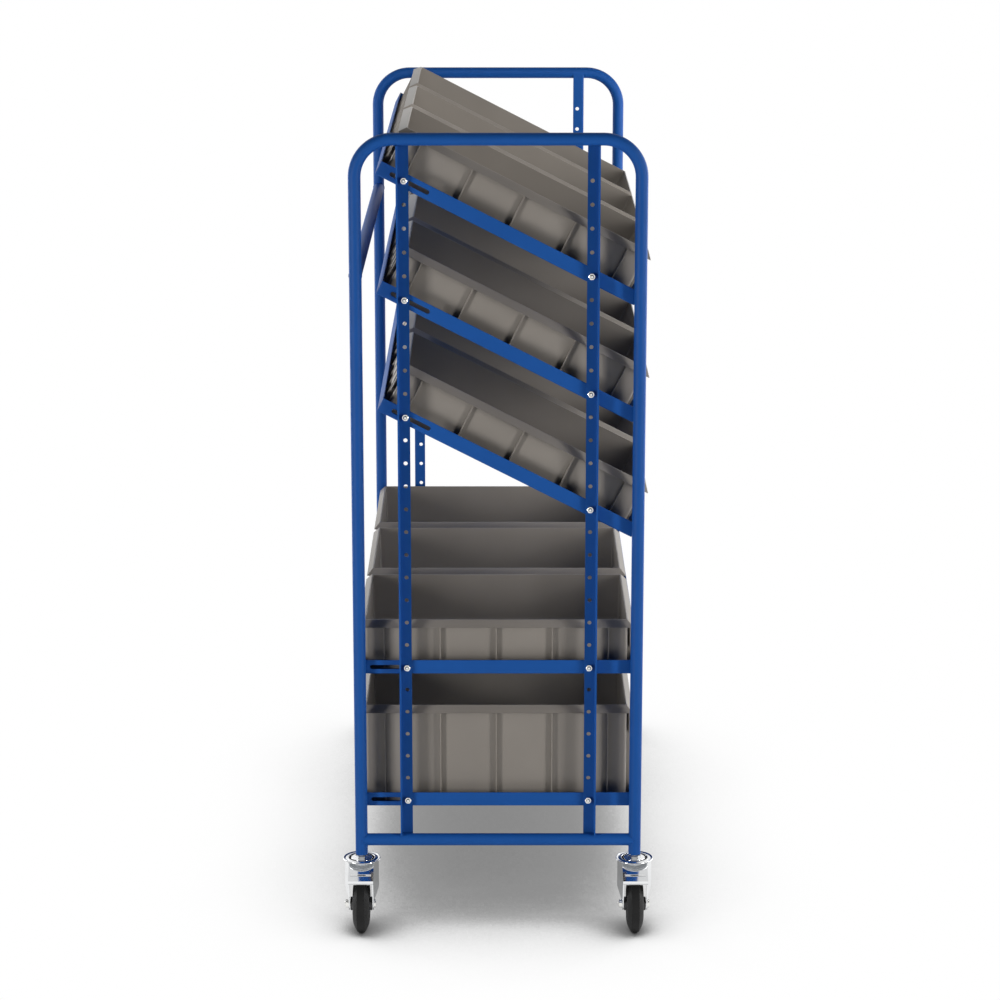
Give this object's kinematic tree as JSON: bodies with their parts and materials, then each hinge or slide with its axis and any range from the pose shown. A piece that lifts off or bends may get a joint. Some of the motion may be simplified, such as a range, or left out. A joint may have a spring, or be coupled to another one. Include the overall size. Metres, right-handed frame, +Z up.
{
  "type": "order picking trolley",
  "caption": "Tall steel order picking trolley on swivel casters, with tilted and level tray shelves between two tube end frames, holding grey plastic containers that lift out.",
  "frame": {"origin": "on the floor, under the middle of the trolley", "axes": "+Z up; +X towards the picking side, where the tilted shelves are lowest; +Y along the shelves, away from the left end"},
  "size_m": [0.6866, 1.5212, 1.7661],
  "materials": {
    "blue_powder_coat": "satin powder coat",
    "grey_container_plastic": "moulded, matte",
    "zinc_fastener": "zinc plated",
    "bright_chrome": "bright plated",
    "dark_hub_plastic": "moulded, matte",
    "black_rubber": "matte rubber"
  },
  "bodies": {
    "frame": {"left_hoop": "blue_powder_coat", "left_cross_tube": "blue_powder_coat", "left_rear_upright": "blue_powder_coat", "left_front_upright": "blue_powder_coat", "right_hoop": "blue_powder_coat", "right_cross_tube": "blue_powder_coat", "right_rear_upright": "blue_powder_coat", "right_front_upright": "blue_powder_coat", "rear_tie_tube": "blue_powder_coat", "shelf_1": "blue_powder_coat", "shelf_2": "blue_powder_coat", "shelf_3": "blue_powder_coat", "shelf_4": "blue_powder_coat", "shelf_5": "blue_powder_coat", "bolt_1_rear": "zinc_fastener", "bolt_1_front": "zinc_fastener", "bolt_2_rear": "zinc_fastener", "bolt_2_front": "zinc_fastener", "bolt_3_rear": "zinc_fastener", "bolt_3_front": "zinc_fastener", "bolt_4_rear": "zinc_fastener", "bolt_4_front": "zinc_fastener", "bolt_5_rear": "zinc_fastener", "bolt_5_front": "zinc_fastener", "caster_left_rear_head": "bright_chrome", "caster_left_front_head": "bright_chrome", "caster_right_rear_head": "bright_chrome", "caster_right_front_head": "bright_chrome"},
    "caster_left_rear_swivel": {"caster_left_rear_fork": "bright_chrome", "caster_left_rear_axle": "zinc_fastener"},
    "caster_left_rear_wheel": {"caster_left_rear_hub": "dark_hub_plastic", "caster_left_rear_tyre": "black_rubber"},
    "caster_left_front_swivel": {"caster_left_front_fork": "bright_chrome", "caster_left_front_axle": "zinc_fastener"},
    "caster_left_front_wheel": {"caster_left_front_hub": "dark_hub_plastic", "caster_left_front_tyre": "black_rubber"},
    "caster_right_rear_swivel": {"caster_right_rear_fork": "bright_chrome", "caster_right_rear_axle": "zinc_fastener"},
    "caster_right_rear_wheel": {"caster_right_rear_hub": "dark_hub_plastic", "caster_right_rear_tyre": "black_rubber"},
    "caster_right_front_swivel": {"caster_right_front_fork": "bright_chrome", "caster_right_front_axle": "zinc_fastener"},
    "caster_right_front_wheel": {"caster_right_front_hub": "dark_hub_plastic", "caster_right_front_tyre": "black_rubber"},
    "container_1_left_lift": {"container_1_left": "grey_container_plastic"},
    "container_1_middle_lift": {"container_1_middle": "grey_container_plastic"},
    "container_1_right_lift": {"container_1_right": "grey_container_plastic"},
    "container_2_left_lift": {"container_2_left": "grey_container_plastic"},
    "container_2_middle_lift": {"container_2_middle": "grey_container_plastic"},
    "container_2_right_lift": {"container_2_right": "grey_container_plastic"},
    "container_3_left_lift": {"container_3_left": "grey_container_plastic"},
    "container_3_middle_lift": {"container_3_middle": "grey_container_plastic"},
    "container_3_right_lift": {"container_3_right": "grey_container_plastic"},
    "container_4_left_lift": {"container_4_left": "grey_container_plastic"},
    "container_4_middle_lift": {"container_4_middle": "grey_container_plastic"},
    "container_4_right_lift": {"container_4_right": "grey_container_plastic"},
    "container_5_left_lift": {"container_5_left": "grey_container_plastic"},
    "container_5_middle_lift": {"container_5_middle": "grey_container_plastic"},
    "container_5_right_lift": {"container_5_right": "grey_container_plastic"}
  },
  "joints": [
    {"name": "caster_left_rear_swivel_joint", "type": "hinge", "parent": "frame", "child": "caster_left_rear_swivel", "pos_m": [-0.30155, -0.65805, 0.15], "axis": [0, 0, 1], "continuous": true},
    {"name": "caster_left_rear_wheel_joint", "type": "hinge", "parent": "caster_left_rear_swivel", "child": "caster_left_rear_wheel", "pos_m": [-0.30155, -0.69805, 0.0625], "axis": [1, 0, 0], "continuous": true},
    {"name": "caster_left_front_swivel_joint", "type": "hinge", "parent": "frame", "child": "caster_left_front_swivel", "pos_m": [0.30155, -0.65805, 0.15], "axis": [0, 0, 1], "continuous": true},
    {"name": "caster_left_front_wheel_joint", "type": "hinge", "parent": "caster_left_front_swivel", "child": "caster_left_front_wheel", "pos_m": [0.30155, -0.69805, 0.0625], "axis": [1, 0, 0], "continuous": true},
    {"name": "caster_right_rear_swivel_joint", "type": "hinge", "parent": "frame", "child": "caster_right_rear_swivel", "pos_m": [-0.30155, 0.65805, 0.15], "axis": [0, 0, 1], "continuous": true},
    {"name": "caster_right_rear_wheel_joint", "type": "hinge", "parent": "caster_right_rear_swivel", "child": "caster_right_rear_wheel", "pos_m": [-0.30155, 0.69805, 0.0625], "axis": [1, 0, 0], "continuous": true},
    {"name": "caster_right_front_swivel_joint", "type": "hinge", "parent": "frame", "child": "caster_right_front_swivel", "pos_m": [0.30155, 0.65805, 0.15], "axis": [0, 0, 1], "continuous": true},
    {"name": "caster_right_front_wheel_joint", "type": "hinge", "parent": "caster_right_front_swivel", "child": "caster_right_front_wheel", "pos_m": [0.30155, 0.69805, 0.0625], "axis": [1, 0, 0], "continuous": true},
    {"name": "container_1_left_slide", "type": "slide", "parent": "frame", "child": "container_1_left_lift", "axis": [0.4556, 0, 0.8902], "range_m": [0, 0.25]},
    {"name": "container_1_middle_slide", "type": "slide", "parent": "frame", "child": "container_1_middle_lift", "axis": [0.4556, 0, 0.8902], "range_m": [0, 0.25]},
    {"name": "container_1_right_slide", "type": "slide", "parent": "frame", "child": "container_1_right_lift", "axis": [0.4556, 0, 0.8902], "range_m": [0, 0.25]},
    {"name": "container_2_left_slide", "type": "slide", "parent": "frame", "child": "container_2_left_lift", "axis": [0.4556, 0, 0.8902], "range_m": [0, 0.1]},
    {"name": "container_2_middle_slide", "type": "slide", "parent": "frame", "child": "container_2_middle_lift", "axis": [0.4556, 0, 0.8902], "range_m": [0, 0.1]},
    {"name": "container_2_right_slide", "type": "slide", "parent": "frame", "child": "container_2_right_lift", "axis": [0.4556, 0, 0.8902], "range_m": [0, 0.1]},
    {"name": "container_3_left_slide", "type": "slide", "parent": "frame", "child": "container_3_left_lift", "axis": [0.4556, 0, 0.8902], "range_m": [0, 0.1]},
    {"name": "container_3_middle_slide", "type": "slide", "parent": "frame", "child": "container_3_middle_lift", "axis": [0.4556, 0, 0.8902], "range_m": [0, 0.1]},
    {"name": "container_3_right_slide", "type": "slide", "parent": "frame", "child": "container_3_right_lift", "axis": [0.4556, 0, 0.8902], "range_m": [0, 0.1]},
    {"name": "container_4_left_slide", "type": "slide", "parent": "frame", "child": "container_4_left_lift", "axis": [0, 0, 1], "range_m": [0, 0.18]},
    {"name": "container_4_middle_slide", "type": "slide", "parent": "frame", "child": "container_4_middle_lift", "axis": [0, 0, 1], "range_m": [0, 0.18]},
    {"name": "container_4_right_slide", "type": "slide", "parent": "frame", "child": "container_4_right_lift", "axis": [0, 0, 1], "range_m": [0, 0.18]},
    {"name": "container_5_left_slide", "type": "slide", "parent": "frame", "child": "container_5_left_lift", "axis": [0, 0, 1], "range_m": [0, 0.075]},
    {"name": "container_5_middle_slide", "type": "slide", "parent": "frame", "child": "container_5_middle_lift", "axis": [0, 0, 1], "range_m": [0, 0.075]},
    {"name": "container_5_right_slide", "type": "slide", "parent": "frame", "child": "container_5_right_lift", "axis": [0, 0, 1], "range_m": [0, 0.075]}
  ]
}
